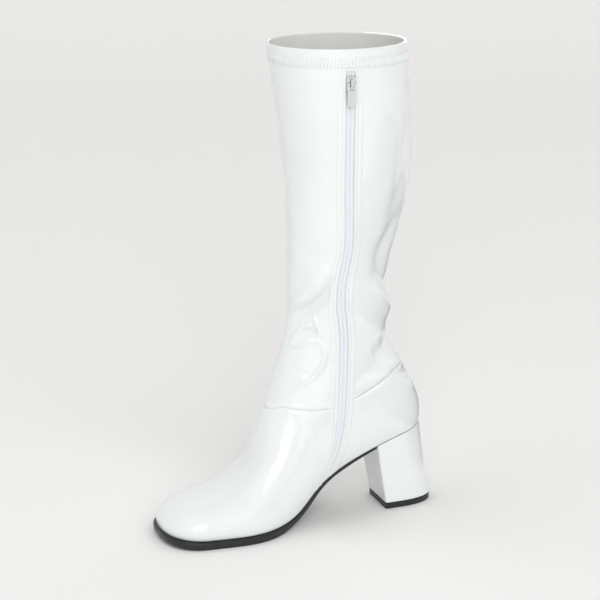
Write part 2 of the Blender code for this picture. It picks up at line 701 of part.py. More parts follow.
def make_pull_tab(frame, material, collection):
    """Pull tab: a flat outline with a rounded foot and an eye, turning on the bar above the eye."""
    curve = bpy.data.curves.new("zip_pull_tab", "CURVE")
    curve.dimensions = "2D"
    curve.fill_mode = "BOTH"
    curve.extrude = TAB_THICKNESS / 2
    half = TAB_WIDTH / 2
    top = TAB_BAR / 2
    end = TAB_LENGTH - half
    outer = [(half, top), (-half, top)]
    outer += [(-half * math.cos(t), -end - half * math.sin(t)) for t in np.linspace(0, math.pi, 9)]
    eye_half, eye_length = TAB_EYE[0] / 2, TAB_EYE[1]
    eye = [(-eye_half, -top), (eye_half, -top), (eye_half, -top - eye_length), (-eye_half, -top - eye_length)]
    for outline in (outer, eye):
        spline = curve.splines.new("POLY")
        spline.points.add(len(outline) - 1)
        spline.use_cyclic_u = True
        for point, (x, y) in zip(spline.points, outline):
            point.co = (x, y, 0, 1)
    flat = bpy.data.objects.new("zip_pull_outline", curve)
    collection.objects.link(flat)
    bpy.context.view_layer.update()
    mesh = bpy.data.meshes.new_from_object(flat.evaluated_get(bpy.context.evaluated_depsgraph_get()))
    bpy.data.objects.remove(flat)
    work = bmesh.new()
    work.from_mesh(mesh)
    bmesh.ops.remove_doubles(work, verts=work.verts, dist=0.00001)
    bmesh.ops.recalc_face_normals(work, faces=work.faces)
    work.to_mesh(mesh)
    work.free()
    mesh.name = "zip_pull_tab"
    mesh.materials.append(material)
    tab = bpy.data.objects.new("zip_pull_tab", mesh)
    collection.objects.link(tab)
    hinge = Vector((0, 0, GAP + SLIDER_BODY[2] + (BRIDGE[2] - BRIDGE_WALL - BRIDGE_SINK) / 2))
    tab.matrix_world = frame @ Matrix.Translation(hinge)
    return tab


def make_material(name):
    colour, roughness, metallic = MATERIALS[name]
    material = bpy.data.materials.new(name)
    material.use_nodes = True
    shader = material.node_tree.nodes["Principled BSDF"]
    shader.inputs["Base Color"].default_value = colour
    shader.inputs["Roughness"].default_value = roughness
    shader.inputs["Metallic"].default_value = metallic
    return material


def main():
    for obj in list(bpy.data.objects):
        bpy.data.objects.remove(obj)
    boot = bpy.data.collections.new("go_go_boot")
    cutters = bpy.data.collections.new("cutters")
    for collection in (boot, cutters):
        bpy.context.scene.collection.children.link(collection)
    looks = {name: make_material(name) for name in MATERIALS}
    upper = make_upper(looks["white_patent"], boot)
    shaft = make_shaft(looks["white_patent"], boot)
    make_outsole(looks["black_rubber"], boot)
    make_insole(looks["lining"], boot)
    make_heel(looks["white_patent"], boot)
    make_top_piece(looks["black_rubber"], boot)
    make_zip((upper, shaft), looks["zip_tape"], boot, cutters)
    frame = slider_frame()
    make_slider(frame, looks["nickel"], boot, cutters)
    make_pull_tab(frame, looks["nickel"], boot)


main()
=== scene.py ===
"""Looks of the go go boot: creased white patent, stitched hem, inside zip, black sole and covered heel.

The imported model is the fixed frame. The walls, sole, heel and zip are built again in fine meshes from
the same sections that the frame was made from, in millimetres, and stand for the frame's nodes.
+Z is up, the toe points along -Y, and the medial side with the zip is +X.
"""
import math
from collections import namedtuple

import bmesh
import bpy
import numpy as np
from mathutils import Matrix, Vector


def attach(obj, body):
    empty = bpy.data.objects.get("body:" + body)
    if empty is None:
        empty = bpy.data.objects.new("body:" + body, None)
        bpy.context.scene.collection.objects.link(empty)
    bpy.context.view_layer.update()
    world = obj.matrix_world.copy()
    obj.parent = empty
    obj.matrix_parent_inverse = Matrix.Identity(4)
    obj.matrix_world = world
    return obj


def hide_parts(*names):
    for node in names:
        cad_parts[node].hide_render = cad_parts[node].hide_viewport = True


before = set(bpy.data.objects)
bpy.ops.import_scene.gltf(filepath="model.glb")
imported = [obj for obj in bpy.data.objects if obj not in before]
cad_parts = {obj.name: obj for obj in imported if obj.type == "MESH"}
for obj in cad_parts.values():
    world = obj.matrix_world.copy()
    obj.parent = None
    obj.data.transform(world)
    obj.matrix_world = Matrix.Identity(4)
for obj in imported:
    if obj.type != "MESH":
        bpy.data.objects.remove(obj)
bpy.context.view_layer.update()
MM = 0.001

# Walls and edges, in millimetres
UPPER_WALL = 1.8
SHAFT_WALL = 1.6
INSOLE_THICKNESS = 2.6
LEDGE = 2.8
HEM_DEPTH = 16
HEM_STEP = 0.5
BOOT_HEIGHT = 428
COLLAR_ROUND = 0.9
COLLAR_INSETS = (0.5, 0.35)
TOP_PIECE_THICKNESS = 5.6
GAP = 0.3
SEAT_GAP = 0.45
SOLE_MARGIN = 0.2
TOE_TIP = -236.5
HEEL_BACK = 11.5
BREAST = -36
NO_END = 1000.0

# Half widths of the feather line either side of the last's centre line
Width = namedtuple("Width", "along centre medial lateral")
WIDTHS = [
    Width(-240, 4.0, 41.0, 35.5),
    Width(-200, 4.0, 41.3, 38.0),
    Width(-182, 3.8, 43.2, 41.0),
    Width(-165, 3.5, 44.2, 43.0),
    Width(-148, 3.0, 42.0, 43.6),
    Width(-132, 2.3, 36.6, 41.6),
    Width(-116, 1.5, 30.6, 37.6),
    Width(-100, 0.8, 26.4, 33.2),
    Width(-84, 0.3, 23.8, 29.0),
    Width(-68, 0.0, 23.0, 26.2),
    Width(-50, 0.0, 23.4, 24.8),
    Width(-30, 0.0, 24.2, 24.4),
    Width(12, 0.0, 24.0, 24.0),
]
# Rounding of the outline's ends: length of the curve and its power
Rounding = namedtuple("Rounding", "length power")
TOE_MEDIAL = Rounding(38, 2.4)
TOE_LATERAL = Rounding(58, 2.3)
HEEL_ROUND = Rounding(25, 2.3)

# Underside of the sole and underside of the last
Bottom = namedtuple("Bottom", "along tread last")
BOTTOMS = [
    Bottom(-240, 4.4, 11.6),
    Bottom(-228, 2.2, 9.7),
    Bottom(-215, 0.6, 8.2),
    Bottom(-202, 0.0, 7.5),
    Bottom(-185, 0.0, 7.4),
    Bottom(-168, 0.0, 7.4),
    Bottom(-150, 0.0, 7.5),
    Bottom(-138, 0.6, 8.0),
    Bottom(-128, 2.2, 9.4),
    Bottom(-119, 5.4, 12.4),
    Bottom(-111, 10.2, 17.4),
    Bottom(-103, 17.2, 24.6),
    Bottom(-95, 26.0, 32.4),
    Bottom(-86, 34.6, 39.4),
    Bottom(-70, 45.0, 49.2),
    Bottom(-55, 53.0, 56.6),
    Bottom(-36, 62.0, 65.0),
    Bottom(-18, 69.0, 71.8),
    Bottom(0, 75.0, 77.6),
    Bottom(12, 79.4, 82.0),
]
TREAD_FLAT = (-202, -150)
LEDGE_FADE = (-150, -105)

# Section planes of the boot, fanned from the toe round the ankle to the collar: its upper and lower
# ends, x of its ridge, half widths, share of its depth down to the widest place, and rounding powers
Section = namedtuple("Section", "top_y top_z low_y low_z ridge medial lateral belly crown base")
FOOT_SECTIONS = [
    Section(-236.5, 16.5, -236.5, None, 4.0, 42.8, 37.5, 0.60, 2.3, 2.0),
    Section(-235.2, 20.0, -235.2, None, 4.0, 42.8, 37.5, 0.62, 2.3, 2.0),
    Section(-231.4, 24.4, -231.4, None, 4.0, 42.8, 37.6, 0.64, 2.3, 2.0),
    Section(-223.0, 30.0, -223.0, None, 4.0, 42.9, 38.2, 0.66, 2.3, 2.0),
    Section(-209.0, 34.5, -209.5, None, 4.0, 43.3, 39.3, 0.68, 2.25, 2.0),
    Section(-193.0, 37.2, -194.0, None, 4.0, 44.0, 41.2, 0.69, 2.2, 2.0),
    Section(-177.0, 41.0, -177.0, None, 4.0, 45.4, 43.6, 0.69, 2.15, 2.0),
    Section(-164.0, 48.0, -159.0, None, 3.8, 45.8, 45.0, 0.68, 2.1, 2.0),
    Section(-154.0, 59.0, -139.0, None, 3.4, 42.6, 44.2, 0.65, 2.05, 2.0),
    Section(-147.0, 75.0, -117.0, None, 2.8, 38.0, 41.4, 0.61, 2.0, 2.0),
    Section(-141.0, 94.0, -94.0, None, 2.2, 34.8, 38.0, 0.57, 2.0, 2.0),
    Section(-134.0, 113.0, -70.0, None, 1.6, 33.6, 36.0, 0.55, 2.0, 2.0),
    Section(-127.8, 134.0, -45.0, None, 1.0, 33.6, 35.2, 0.54, 2.0, 2.1),
    Section(-121.4, 153.0, -21.0, None, 0.5, 34.0, 35.0, 0.53, 2.0, 2.2),
    Section(-116.6, 170.0, -3.0, None, 0.2, 34.8, 35.2, 0.52, 2.0, 2.4),
    Section(-114.0, 184.0, 8.0, None, 0.0, 35.4, 35.6, 0.51, 2.0, 2.5),
    Section(-113.2, 196.0, 11.5, None, 0.0, 35.8, 35.8, 0.50, 2.0, 2.5),
]
LEG_SECTIONS = [
    Section(-113.0, 206.0, 11.0, 96.0, 0.0, 36.0, 36.0, 0.50, 2.0, 2.45),
    Section(-113.0, 215.0, 6.5, 111.5, 0.0, 36.2, 36.2, 0.50, 2.0, 2.35),
    Section(-113.0, 224.0, -1.5, 127.5, 0.0, 36.2, 36.2, 0.50, 2.0, 2.2),
    Section(-112.9, 232.5, -11.0, 144.0, 0.0, 36.2, 36.2, 0.50, 2.0, 2.1),
    Section(-112.8, 241.0, -20.0, 159.5, 0.0, 36.0, 36.0, 0.50, 2.0, 2.0),
    Section(-112.8, 249.0, -22.0, 175.0, 0.0, 36.0, 36.0, 0.50, 2.0, 2.0),
    Section(-112.8, 257.5, -18.5, 190.0, 0.0, 36.2, 36.2, 0.50, 2.0, 2.0),
    Section(-112.8, 266.5, -22.0, 206.0, 0.0, 36.8, 36.8, 0.50, 2.0, 2.0),
    Section(-112.8, 276.0, -22.0, 222.5, 0.0, 37.8, 37.8, 0.50, 2.0, 2.0),
    Section(-112.9, 287.0, -18.5, 240.5, 0.0, 39.2, 39.2, 0.50, 2.0, 2.0),
    Section(-113.4, 301.0, -12.0, 261.5, 0.0, 41.2, 41.2, 0.50, 2.0, 2.0),
    Section(-114.8, 319.0, -4.5, 288.0, 0.0, 44.0, 44.0, 0.50, 2.0, 2.0),
    Section(-117.9, 344.0, -0.5, 323.0, 0.0, 47.0, 47.0, 0.50, 2.0, 2.0),
    Section(-121.9, 373.0, -1.5, 362.0, 0.0, 49.4, 49.4, 0.50, 2.0, 2.0),
    Section(-125.5, 401.0, -5.0, 398.0, 0.0, 50.6, 50.6, 0.50, 2.0, 2.0),
    Section(-128.6, 428.0, -8.6, 428.0, 0.0, 51.0, 51.0, 0.50, 2.0, 2.0),
]
HEEL_STATION = len(FOOT_SECTIONS) - 1
COLLAR_STATION = len(FOOT_SECTIONS) + len(LEG_SECTIONS) - 1

# Height of the seam between foot part and shaft, and middle of the zip on the medial side
Seam = namedtuple("Seam", "along height")
SEAM_LINE = [
    Seam(-150, 106),
    Seam(-140, 106.4),
    Seam(-132, 109.6),
    Seam(-126, 112.0),
    Seam(-118, 111.2),
    Seam(-110, 110.2),
    Seam(-100, 109.6),
    Seam(-83, 110.5),
    Seam(-66, 115.5),
    Seam(-50, 123),
    Seam(-34, 132.5),
    Seam(-18, 141),
    Seam(0, 147),
    Seam(14, 150),
]
Zip = namedtuple("Zip", "height along")
ZIP_LINE = [
    Zip(44, -86.5),
    Zip(56, -83.0),
    Zip(70, -79.6),
    Zip(88, -76.7),
    Zip(106, -74.9),
    Zip(126, -74.0),
    Zip(160, -73.3),
    Zip(180, -74.0),
    Zip(203, -76.7),
    Zip(222, -76.2),
    Zip(250, -71.9),
    Zip(290, -72.2),
    Zip(340, -74.2),
    Zip(380, -75.2),
    Zip(428, -76.2),
]
ZIP_FOOT = 47
ZIP_TOP = 408
TAPE_EDGE = 4.1  # the folded edges of the patent cover the tape's borders up to here
STITCH_ROWS = (8.3, 16.0)  # depth of the cover stitch's two rows below the collar
ZIP_HOLD = 0.7  # share of the folds that the stiff zip flattens
ZIP_HOLD_WIDTH = 9
SEAT_LIFT = 0.9  # height over the feather line at which the zip's strips end
SLOT_DEPTH = 1.3
SLOT_EDGE = 2.2

# Grooves that the seams press into the skin, each with a soft roll beside it
Furrow = namedtuple("Furrow", "depth width roll roll_place roll_width")
FRONT_SEAM = Furrow(0.5, 0.7, 0.22, 2.4, 1.4)
BACK_SEAM = Furrow(0.5, 0.8, 0.3, 2.6, 1.6)
STITCH_ROW = Furrow(0.28, 0.9, 0.0, 0.0, 1.0)
SEAM_SLOPE = 0.9  # distance from the slanting seam for each millimetre of height

# Creases and ridges of the patent, placed one by one. A path is (section, share round), where the share
# is 0 down the front, 1 at the back of the medial side and -1 at the back of the lateral side. Depth
# is positive for a trough and negative for a ridge, lip is a ridge along its left side, and lean makes
# its left side steeper and its right side wider.
Crease = namedtuple("Crease", "width depth lip lean path")
MEDIAL_CREASES = [
    Crease(6.0, 4.4, 1.6, 0.3,
           [(14.6, 0.04), (16.4, 0.14), (18.2, 0.23), (20.0, 0.31), (21.8, 0.38), (23.4, 0.44)]),
    Crease(6.5, -1.1, 0.0, 0.0, [(15.0, 0.03), (17.4, 0.13), (20.0, 0.22), (22.6, 0.31), (24.2, 0.37)]),
    Crease(2.0, -1.3, 0.0, 0.0, [(14.0, 0.07), (13.9, 0.12), (14.2, 0.18), (14.9, 0.225), (15.3, 0.265)]),
    Crease(2.2, -1.3, 0.0, 0.0,
           [(14.9, 0.22), (15.3, 0.265), (15.1, 0.305), (14.4, 0.325), (13.8, 0.33), (13.2, 0.32),
            (12.6, 0.295), (12.0, 0.262), (11.6, 0.24)]),
    Crease(2.2, -1.4, 0.0, 0.0, [(13.9, 0.09), (14.5, 0.12), (15.4, 0.165), (16.6, 0.225)]),
    Crease(1.7, -1.1, 0.0, 0.0, [(17.2, 0.22), (16.6, 0.24), (15.7, 0.275)]),
    Crease(3.4, 1.2, 0.0, 0.0, [(14.9, 0.14), (15.5, 0.21), (15.9, 0.26)]),
    Crease(9.5, 4.6, 0.0, 0.15,
           [(16.6, 0.47), (17.6, 0.52), (18.5, 0.57), (19.4, 0.64), (20.3, 0.73), (21.1, 0.84)]),
    Crease(3.8, -1.7, 0.0, 0.0, [(17.9, 0.58), (18.6, 0.66), (19.3, 0.78), (19.9, 0.92), (20.0, 1.1)]),
    Crease(4.6, 2.0, 0.0, 0.0,
           [(14.4, 0.44), (16.2, 0.49), (17.5, 0.56), (18.2, 0.68), (18.7, 0.84), (18.8, 1.0)]),
    Crease(5.0, 1.2, 0.0, 0.0, [(16.8, 0.52), (15.2, 0.49), (14.0, 0.50)]),
    Crease(9.5, 3.2, 0.0, 0.1,
           [(23.7, 0.92), (24.3, 0.81), (24.8, 0.73), (25.6, 0.70), (26.5, 0.72), (27.4, 0.79), (28.2, 0.9)]),
    Crease(8.0, 1.2, 0.0, 0.0, [(24.6, 0.76), (24.4, 0.88), (24.3, 1.0), (24.3, 1.15)]),
    Crease(13.0, 3.0, 0.0, 0.2, [(26.6, 0.70), (27.8, 0.72), (29.2, 0.75), (31.0, 0.82)]),
    Crease(10.0, -1.6, 0.0, 0.0, [(23.8, 0.60), (23.2, 0.76), (22.8, 0.94)]),
    Crease(12.0, 1.0, 0.0, 0.0, [(29.8, 0.26), (28.8, 0.16), (27.8, 0.06)]),
]
LATERAL_CREASES = [
    Crease(9.0, 3.6, -0.9, 0.0, [(28.5, -0.80), (26.2, -0.66), (24.2, -0.56), (22.2, -0.46)]),
    Crease(7.0, 3.6, 0.0, 0.0, [(26.2, -0.94), (24.6, -0.76), (22.8, -0.62), (20.8, -0.50)]),
    Crease(6.0, -2.1, 0.0, 0.0, [(27.2, -0.88), (25.4, -0.72), (23.6, -0.59), (21.6, -0.48)]),
    Crease(7.0, 4.2, 0.0, 0.2, [(23.0, -0.98), (21.6, -0.80), (20.2, -0.66), (18.8, -0.50), (17.6, -0.38)]),
    Crease(4.5, -2.2, 0.0, 0.0, [(21.6, -0.98), (20.2, -0.80), (18.8, -0.64), (17.4, -0.50)]),
    Crease(5.5, 3.1, 0.0, 0.0, [(20.0, -0.96), (18.6, -0.74), (17.2, -0.56), (15.8, -0.40)]),
    Crease(5.0, 2.5, 0.6, 0.0, [(20.6, -0.20), (18.8, -0.28), (17.0, -0.36), (15.4, -0.46)]),
    Crease(4.0, -1.8, 0.0, 0.0, [(18.4, -0.14), (16.8, -0.24), (15.4, -0.34)]),
    Crease(4.5, 2.1, 0.0, 0.0, [(16.4, -0.10), (15.0, -0.20), (13.8, -0.32), (13.0, -0.44)]),
    Crease(3.4, -1.5, 0.0, 0.0, [(14.8, -0.10), (13.8, -0.20), (13.0, -0.32)]),
    Crease(6.0, 1.8, 0.0, 0.0, [(14.6, -0.60), (15.6, -0.50), (16.0, -0.38)]),
    Crease(12.0, 2.2, 0.0, 0.0, [(30.4, -0.62), (28.6, -0.58), (26.8, -0.52), (25.2, -0.44)]),
]
BACK_CREASES = [
    Crease(4.5, 1.2, 0.0, 0.0, [(27.4, 0.84), (27.2, 1.0), (27.4, 1.18)]),
]
VAMP_CREASES = [
    Crease(8.0, 0.8, 0.0, 0.0, [(9.6, 0.80), (8.6, 0.66), (7.8, 0.56), (7.0, 0.48)]),
]
CREASES = MEDIAL_CREASES + LATERAL_CREASES + BACK_CREASES + VAMP_CREASES
CREASE_REACH = 4  # widths from its path at which a crease is no longer felt
CREASE_TAPER = 0.35  # share of its path over which each end dies out
LIP_PLACE = 1.8  # widths from its path to a crease's lip
RIPPLE_HEIGHT = 0.12

# Steps and limits, in sections and shares round, for slopes and places on the surface
STATION_STEP = 0.02
AROUND_STEP = 0.006
STATION_MARGIN = 0.04
AROUND_LIMIT = 0.992
PLACE_STEPS = (0.01, 0.001)
TUCK_LIMIT = 0.995

# Grid of the walls: where its spacing changes, and its points round and in each stretch
TOE_END = 7
ANKLE_START = 11
ANKLE_END = 18
HEM_START = 30.95
GridSize = namedtuple("GridSize", "around toe vamp ankle leg hem")
FULL_GRID = GridSize(225, 76, 42, 94, 100, 30)
ZIP_RINGS = 240

# Camera of the photograph, fitted to the sole and heel: azimuth and distance from the boot's origin.
# Its heading and pitch are turned from the photograph's (65.0 and 15.96) to centre the one boot.
CAMERA_AZIMUTH = 65.61
CAMERA_DISTANCE = 1.5
CAMERA_HEIGHT = 0.642
CAMERA_HEADING = 69.24
CAMERA_PITCH = 16.75
CAMERA_LENS = 104.46
CAMERA_SENSOR = 36

# Studio, in metres and degrees: the pale sweep behind the boot and the middle that the lamps face
SWEEP_REACH = 25.0
SWEEP_RISE = 2.2
SWEEP_ROUND = 1.2
SWEEP_HEIGHT = 5.0
BOOT_MIDDLE = Vector((0, -0.11, 0.2))
WORLD_STRENGTH = 0.47
SUN_SPREAD = 50


class Spline:
    """A natural cubic spline through one column of a table."""

    def __init__(self, knots, values):
        self.knots = np.asarray(knots, float)
        self.values = np.asarray(values, float)
        steps = np.diff(self.knots)
        slopes = np.diff(self.values) / steps
        count = len(self.knots)
        system = np.eye(count)
        target = np.zeros(count)
        for i in range(1, count - 1):
            system[i, i - 1 : i + 2] = steps[i - 1], 2 * (steps[i - 1] + steps[i]), steps[i]
            target[i] = 6 * (slopes[i] - slopes[i - 1])
        self.bends = np.linalg.solve(system, target)

    def __call__(self, at):
        at = np.clip(at, self.knots[0], self.knots[-1])
        i = np.clip(np.searchsorted(self.knots, at, side="right") - 1, 0, len(self.knots) - 2)
        step = self.knots[i + 1] - self.knots[i]
        before = (self.knots[i + 1] - at) / step
        after = 1 - before
        bend = (before**3 - before) * self.bends[i] + (after**3 - after) * self.bends[i + 1]
        return before * self.values[i] + after * self.values[i + 1] + bend * step * step / 6


def columns(rows, knot, names):
    knots = [getattr(row, knot) for row in rows]
    return {name: Spline(knots, [getattr(row, name) for row in rows]) for name in names}


WIDTH = columns(WIDTHS, "along", ("centre", "medial", "lateral"))
BOTTOM = columns(BOTTOMS, "along", ("tread", "last"))
SEAM = columns(SEAM_LINE, "along", ("height",))["height"]
ZIP_MIDDLE = columns(ZIP_LINE, "height", ("along",))["along"]


def round_end(distance, rounding):
    """Share of the full width at a distance from a rounded end."""
    left = 1 - np.clip(distance / rounding.length, 0, 1)
    return (1 - left**rounding.power) ** (1 / rounding.power)


def smooth_step(at, low, high):
    share = np.clip((at - low) / (high - low), 0, 1)
    return share * share * (3 - 2 * share)


def bell(distance, width):
    return np.exp(-((distance / width) ** 2))


def toe_round(distance, side):
    return np.where(side > 0, round_end(distance, TOE_MEDIAL), round_end(distance, TOE_LATERAL))


def edge_x(y, side, grow=0.0, tip=TOE_TIP, back=HEEL_BACK):
    """X of the feather line on one side, or of the same line grown by a margin."""
    half = np.where(side > 0, WIDTH["medial"](y), WIDTH["lateral"](y)) + grow
    half = half * toe_round(y - tip, side) * round_end(back - y, HEEL_ROUND)
    return WIDTH["centre"](y) + side * half


def last_z(y):
    return BOTTOM["last"](y)


def under_last(y):
    slope = (last_z(y + 1) - last_z(y - 1)) / 2
    return last_z(y) - SEAT_GAP * np.hypot(1, slope)


def section_splines():
    rows = [(*row[:3], float(last_z(row.low_y)), *row[4:]) for row in FOOT_SECTIONS] + list(LEG_SECTIONS)
    stations = range(len(rows))
    return {name: Spline(stations, [row[i] for row in rows]) for i, name in enumerate(Section._fields)}


SECTION = section_splines()


def surface(station, around):
    """Points of the boot's smooth outer surface: around is 0 on the ridge, 1 medial and -1 lateral."""
    station, around = np.broadcast_arrays(np.asarray(station, float), np.asarray(around, float))
    side = np.where(around >= 0, 1.0, -1.0)
    at = {name: spline(station) for name, spline in SECTION.items()}
    on_sole = station < HEEL_STATION
    low_y = at["low_y"]
    low_z = np.where(on_sole, last_z(low_y), at["low_z"])
    centre = np.where(on_sole, WIDTH["centre"](low_y), 0.0)
    half = np.where(side > 0, at["medial"], at["lateral"]) * toe_round(low_y - TOE_TIP, side)
    foot_half = np.where(on_sole, np.abs(edge_x(low_y, side) - centre), 0.0)
    widest = centre + side * half
    ratio = np.minimum(foot_half / np.maximum(half, 0.01), TUCK_LIMIT)
    tucked = np.arccos(ratio ** (at["base"] / 2))
    depth = np.hypot(low_y - at["top_y"], low_z - at["top_z"])
    belly = at["belly"]
    crown_reach = np.hypot(widest - at["ridge"], belly * depth)
    base_reach = np.hypot(half - foot_half, (1 - belly) * depth)
    split = crown_reach / (crown_reach + base_reach)
    share = np.abs(around)
    angle = np.pi / 2 * (1 - np.minimum(share / split, 1))
    power = 2 / at["crown"]
    crown_x = at["ridge"] + (widest - at["ridge"]) * np.maximum(np.cos(angle), 0) ** power
    crown_down = belly * (1 - np.sin(angle) ** power)
    angle = tucked * np.maximum(share - split, 0) / (1 - split)
    power = 2 / at["base"]
    base_x = centre + side * half * np.maximum(np.cos(angle), 0) ** power
    base_down = belly + (1 - belly) * (np.sin(angle) / np.sin(tucked)) ** power
    x = np.where(share <= split, crown_x, base_x)
    down = np.where(share <= split, crown_down, base_down)
    y = at["top_y"] + (low_y - at["top_y"]) * down
    z = at["top_z"] + (low_z - at["top_z"]) * down
    return np.stack([x, y, z], axis=-1)


def unit(vectors):
    return vectors / np.maximum(np.linalg.norm(vectors, axis=-1, keepdims=True), 1e-9)


def normal(station, around):
    """Outward unit normals of the smooth surface."""
    station = np.clip(station, STATION_MARGIN, COLLAR_STATION - STATION_MARGIN)
    around = np.where(np.abs(around) > AROUND_LIMIT, np.sign(around) * AROUND_LIMIT, around)
    along = surface(station + STATION_STEP, around) - surface(station - STATION_STEP, around)
    across = surface(station, around + AROUND_STEP) - surface(station, around - AROUND_STEP)
    return unit(np.cross(across, along))


def measure_girths():
    """Section numbers, and half the girth at each."""
    stations = np.linspace(0, COLLAR_STATION, 8 * COLLAR_STATION + 1)
    ring = surface(stations[:, None], np.linspace(0.02, 0.98, 40)[None])
    return stations, np.linalg.norm(np.diff(ring, axis=1), axis=2).sum(axis=1)


HALF_GIRTHS = measure_girths()


def half_girth(station):
    return np.interp(station, *HALF_GIRTHS)


def rounded_path(path, steps=4):
    """A smooth curve through a crease's points."""
    points = np.array([path[0], *path, path[-1]], float)
    out = []
    for k in range(1, len(points) - 2):
        a, b, c, d = points[k - 1 : k + 3]
        for t in np.arange(steps) / steps:
            out.append(0.5 * (2 * b + (c - a) * t + (2 * a - 5 * b + 4 * c - d) * t**2
                              + (3 * b - a - 3 * c + d) * t**3))
    out.append(points[-2])
    return np.array(out)


def crease_relief(crease, points):
    """Height that one crease adds, in millimetres: a soft trough or ridge that dies out at its ends."""
    path = rounded_path(crease.path)
    around = (path[:, 1] + 1) % 2 - 1
    route = surface(path[:, 0], around)
    out = normal(path[:, 0], around)
    height = np.zeros(points.shape[:-1])
    reach = CREASE_REACH * crease.width
    near = np.all((points > route.min(axis=0) - reach) & (points < route.max(axis=0) + reach), axis=-1)
    spots = points[near]
    best = np.full(len(spots), 1e9)
    gap = np.zeros(len(spots))
    progress = np.zeros(len(spots))
    for k in range(len(route) - 1):
        step = route[k + 1] - route[k]
        share = np.clip((spots - route[k]) @ step / (step @ step), 0, 1)
        off = spots - route[k] - share[:, None] * step
        distance = np.linalg.norm(off, axis=1)
        closer = distance < best
        best = np.where(closer, distance, best)
        gap = np.where(closer, np.sign(off @ np.cross(out[k], step)) * distance, gap)
        progress = np.where(closer, (k + share) / (len(route) - 1), progress)
    taper = smooth_step(progress, 0, CREASE_TAPER) * smooth_step(1 - progress, 0, CREASE_TAPER)
    width = crease.width * np.where(gap > 0, 1 - crease.lean, 1 + crease.lean)
    rise = -crease.depth * bell(best, width)
    rise += crease.lip * bell(gap - LIP_PLACE * crease.width, crease.width)
    height[near] = rise * taper
    return height


def ripple(points):
    """Slight waviness of the whole skin, in millimetres."""
    x, y, z = (points[..., i] / 10 for i in range(3))
    wave = np.sin(1.7 * x + 0.9 * z + 0.4) * np.sin(1.3 * y - 0.8 * z + 1.1)
    wave = wave + 0.6 * np.sin(2.6 * y + 1.9 * z) * np.sin(2.2 * x - 1.5 * z + 0.7)
    return RIPPLE_HEIGHT * wave


def folds(around, points):
    """Height of the folded wall over the smooth surface: creases and ripple, held flat along the zip."""
    height = sum(crease_relief(crease, points) for crease in CREASES)
    height = height + ripple(points) * smooth_step(points[..., 2], 30, 120)
    off_zip = points[..., 1] - ZIP_MIDDLE(points[..., 2])
    return height * (1 - ZIP_HOLD * bell(off_zip, ZIP_HOLD_WIDTH) * (around > 0))


def furrow(distance, shape):
    """Height of a seam's groove and of the roll beside it."""
    groove = -shape.depth * bell(distance, shape.width)
    return groove + shape.roll * bell(distance - shape.roll_place, shape.roll_width)


def seams(station, around, points):
    """Height that seams, the hem's fold and the zip's slot add to the outside of the wall."""
    y, z = points[..., 1], points[..., 2]
    off_zip = np.abs(y - ZIP_MIDDLE(z))
    on_zip = (around > 0) & (z < ZIP_TOP + 1)
    height = -SLOT_DEPTH * np.where(on_zip, 1 - smooth_step(off_zip, TAPE_EDGE, TAPE_EDGE + SLOT_EDGE), 0)
    height = height * np.where(z < 70, smooth_step(z - last_z(y), 1, 6), 1)
    height = height + furrow((z - SEAM(y)) * SEAM_SLOPE, FRONT_SEAM)
    off_back = (1 - np.abs(around)) * half_girth(station)
    height = height + np.where(z > SEAM(y), furrow(off_back, BACK_SEAM), 0)
    for drop in STITCH_ROWS:
        height = height + furrow(BOOT_HEIGHT - drop - z, STITCH_ROW)
    return height + HEM_STEP * smooth_step(z, BOOT_HEIGHT - HEM_DEPTH - 0.6, BOOT_HEIGHT - HEM_DEPTH + 0.6)


def over_skin(station, around, lift):
    """Points at a distance over the skin with its folds and seams, and their normals."""
    points = surface(station, around)
    out = normal(station, around)
    height = folds(around, points) + seams(station, around, points) + lift
    return points + out * height[:, None], out


def over_folds(station, around, lift):
    """Points at a distance over the folded skin without its seams, and their normals."""
    points = surface(station, around)
    out = normal(station, around)
    return points + out * (folds(around, points) + lift)[:, None], out


def above_seam(points):
    return points[..., 2] - SEAM(points[..., 1])


def snap_to_seam(station, around):
    """Moves the grid's points nearest the seam onto it, so that no edge of the grid crosses it."""
    level = above_seam(surface(station, around))
    nearest = np.full(station.shape, 1.0)
    moved = station.copy(), around.copy()
    for axis in (0, 1):
        first = [slice(None), slice(None)]
        second = [slice(None), slice(None)]
        first[axis], second[axis] = slice(None, -1), slice(1, None)
        rows, cols = np.nonzero(level[tuple(first)] * level[tuple(second)] < 0)
        other = (rows + 1, cols) if axis == 0 else (rows, cols + 1)
        low = np.stack([station[rows, cols], around[rows, cols]])
        high = np.stack([station[other], around[other]])
        low_level = level[rows, cols]
        share_low, share_high = np.zeros(len(rows)), np.ones(len(rows))
        for _ in range(20):
            share = (share_low + share_high) / 2
            middle = low + (high - low) * share
            same = above_seam(surface(*middle)) * low_level > 0
            share_low = np.where(same, share, share_low)
            share_high = np.where(same, share_high, share)
        for r, c, r2, c2, t, (s_at, a_at) in zip(rows, cols, *other, share_low, middle.T):
            spot, move = ((r, c), t) if t < 0.5 else ((r2, c2), 1 - t)
            if move < nearest[spot]:
                nearest[spot] = move
                moved[0][spot], moved[1][spot] = s_at, a_at
    level[nearest < 1.0] = 0.0
    return *moved, level


